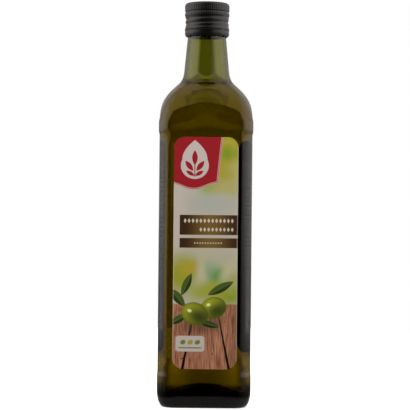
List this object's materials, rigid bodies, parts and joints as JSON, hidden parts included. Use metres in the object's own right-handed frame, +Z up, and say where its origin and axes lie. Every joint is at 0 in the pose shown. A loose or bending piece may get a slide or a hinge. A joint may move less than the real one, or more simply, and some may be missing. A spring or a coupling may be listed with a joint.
{
  "type": "olive oil bottle",
  "caption": "Square olive-green glass bottle of olive oil with rounded corners, a tapered round neck, a black rolled-on screw cap, and a paper label front and back.",
  "frame": {"origin": "centre of the bottle's footprint on the plane it stands on", "axes": "+Z up along the bottle's axis, front label facing -Y, back label facing +Y"},
  "size_m": [0.0656, 0.0656, 0.2827],
  "materials": {
    "bottle_glass": "clear olive-green moulded glass",
    "oil": "clear yellow-green oil",
    "cap_metal": "satin black lacquer on thin pressed aluminium",
    "front_paper": "satin coated print",
    "back_paper": "satin coated print"
  },
  "bodies": {
    "root": {"glass_bottle": "bottle_glass", "olive_oil": "oil", "screw_cap": "cap_metal", "front_label": "front_paper", "back_label": "back_paper"}
  },
  "joints": []
}
